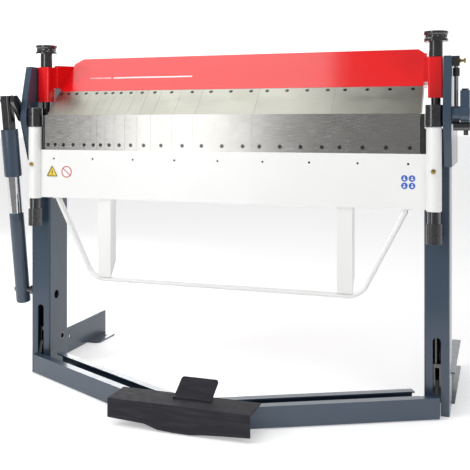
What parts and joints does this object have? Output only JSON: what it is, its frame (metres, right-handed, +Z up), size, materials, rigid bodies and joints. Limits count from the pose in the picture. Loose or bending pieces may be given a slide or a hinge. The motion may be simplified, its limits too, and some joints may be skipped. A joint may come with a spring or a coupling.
{
  "type": "foot operated box and pan brake",
  "caption": "Foot-operated sheet metal box and pan brake with segmented fingers, swinging apron, clamping beam, pedal frame and counterbalance strut.",
  "frame": {"origin": "on the floor, in the middle of the four anchor holes", "axes": "+X to the operator's right along the blades, +Y away from the operator, +Z up"},
  "size_m": [1.571, 0.89, 1.147],
  "materials": {
    "frame_paint": "satin slate blue-grey paint",
    "white_paint": "gloss white paint",
    "red_paint": "gloss red paint",
    "blade_steel": "ground tool steel",
    "finger_steel": "ground tool steel",
    "black_oxide": "black oxide steel",
    "chrome": "polished",
    "brass": "turned",
    "pedal_black": "black textured paint",
    "bush_bronze": "turned"
  },
  "bodies": {
    "frame": {"column_left": "frame_paint", "column_right": "frame_paint", "cheek_left": "frame_paint", "cheek_right": "frame_paint", "base_rail_left": "frame_paint", "base_rail_right": "frame_paint", "anchor_feet": "frame_paint", "bed_beam": "frame_paint", "bed_blade": "blade_steel", "pivot_bushes": "bush_bronze", "pedal_pivot_pins": "black_oxide", "stop_guides": "black_oxide", "stop_rod": "chrome"},
    "swing_frame": {"pivot_block_left": "black_oxide", "pivot_block_right": "black_oxide", "height_spindles": "black_oxide", "crank_arm_left": "frame_paint", "angle_arm_right": "frame_paint", "angle_stop_roller": "black_oxide"},
    "apron": {"apron_plate": "white_paint", "apron_tube_left": "white_paint", "apron_tube_right": "white_paint", "grease_fittings": "brass", "apron_end_caps": "black_oxide", "apron_handle": "white_paint", "apron_posts": "white_paint", "blade_screws": "black_oxide", "apron_set_screws": "black_oxide", "lower_blades_small": "blade_steel", "lower_blades_medium": "blade_steel", "lower_blades_200": "blade_steel", "lower_blades_250": "blade_steel", "lower_blades_270": "blade_steel"},
    "height_nut_left": {"height_nut_left": "black_oxide"},
    "height_nut_right": {"height_nut_right": "black_oxide"},
    "clamp_beam": {"beam_front": "red_paint", "beam_truss": "red_paint", "end_block_left": "red_paint", "end_block_right": "red_paint", "finger_screws": "black_oxide", "pull_rods": "black_oxide", "upper_fingers_small": "finger_steel", "upper_fingers_medium": "finger_steel", "upper_fingers_200": "finger_steel", "upper_fingers_250": "finger_steel", "upper_fingers_270": "finger_steel"},
    "clamp_screw_left": {"clamp_screw_left": "black_oxide"},
    "clamp_screw_right": {"clamp_screw_right": "black_oxide"},
    "pedal": {"pedal_arm_left": "frame_paint", "pedal_arm_right": "frame_paint", "toe_cover": "pedal_black", "heel_tab": "pedal_black", "pedal_levers": "frame_paint"},
    "strut_upper": {"strut_fork": "black_oxide", "strut_sleeve": "frame_paint", "strut_rod": "chrome"},
    "strut_lower": {"strut_tube": "frame_paint", "strut_foot_pin": "black_oxide"},
    "stop_collar": {"stop_collar": "black_oxide"},
    "thumb_screw": {"thumb_screw": "brass"}
  },
  "joints": [
    {"name": "apron_swing", "type": "hinge", "parent": "frame", "child": "swing_frame", "pos_m": [0, -0.338, 0.9], "axis": [-1, 0, 0], "range_deg": [0, 135]},
    {"name": "apron_height", "type": "slide", "parent": "swing_frame", "child": "apron", "axis": [0, 0, 1], "range_m": [-0.012, 0]},
    {"name": "height_nut_left_turn", "type": "hinge", "parent": "apron", "child": "height_nut_left", "pos_m": [-0.674, -0.35, 0.55], "axis": [0, 0, 1], "range_deg": [-1085, 5]},
    {"name": "height_nut_right_turn", "type": "hinge", "parent": "apron", "child": "height_nut_right", "pos_m": [0.674, -0.35, 0.55], "axis": [0, 0, 1], "range_deg": [-1085, 5]},
    {"name": "beam_lift", "type": "slide", "parent": "frame", "child": "clamp_beam", "axis": [0, 0, 1], "range_m": [0, 0.025]},
    {"name": "clamp_screw_left_turn", "type": "hinge", "parent": "clamp_beam", "child": "clamp_screw_left", "pos_m": [-0.674, -0.278, 1.1], "axis": [0, 0, 1], "continuous": true},
    {"name": "clamp_screw_right_turn", "type": "hinge", "parent": "clamp_beam", "child": "clamp_screw_right", "pos_m": [0.674, -0.278, 1.1], "axis": [0, 0, 1], "continuous": true},
    {"name": "pedal_swing", "type": "hinge", "parent": "frame", "child": "pedal", "pos_m": [0, -0.225, 0.105], "axis": [-1, 0, 0], "range_deg": [0, 26]},
    {"name": "strut_tilt", "type": "hinge", "parent": "swing_frame", "child": "strut_upper", "pos_m": [-0.765, -0.384, 0.951], "axis": [-1, 0, 0], "range_deg": [-125.34, 0]},
    {"name": "strut_stroke", "type": "slide", "parent": "strut_upper", "child": "strut_lower", "axis": [0, -0.1383, 0.9904], "range_m": [0, 0.06093]},
    {"name": "stop_collar_slide", "type": "slide", "parent": "frame", "child": "stop_collar", "axis": [0, 0, 1], "range_m": [-0.11, 0.004]},
    {"name": "thumb_screw_turn", "type": "hinge", "parent": "frame", "child": "thumb_screw", "pos_m": [0.75, -0.302, 1.056], "axis": [1, 0, 0], "continuous": true}
  ],
  "couplings": [
    {"joint": "height_nut_left_turn", "follows": "apron_height", "rad_per_m": 1570.8},
    {"joint": "height_nut_right_turn", "follows": "apron_height", "rad_per_m": 1570.8},
    {"joint": "pedal_swing", "follows": "beam_lift", "rad_per_m": 18.15},
    {"joint": "strut_tilt", "follows": "apron_swing", "ratio": -0.92698},
    {"joint": "strut_stroke", "follows": "apron_swing", "m_per_rad": 0.025773}
  ]
}
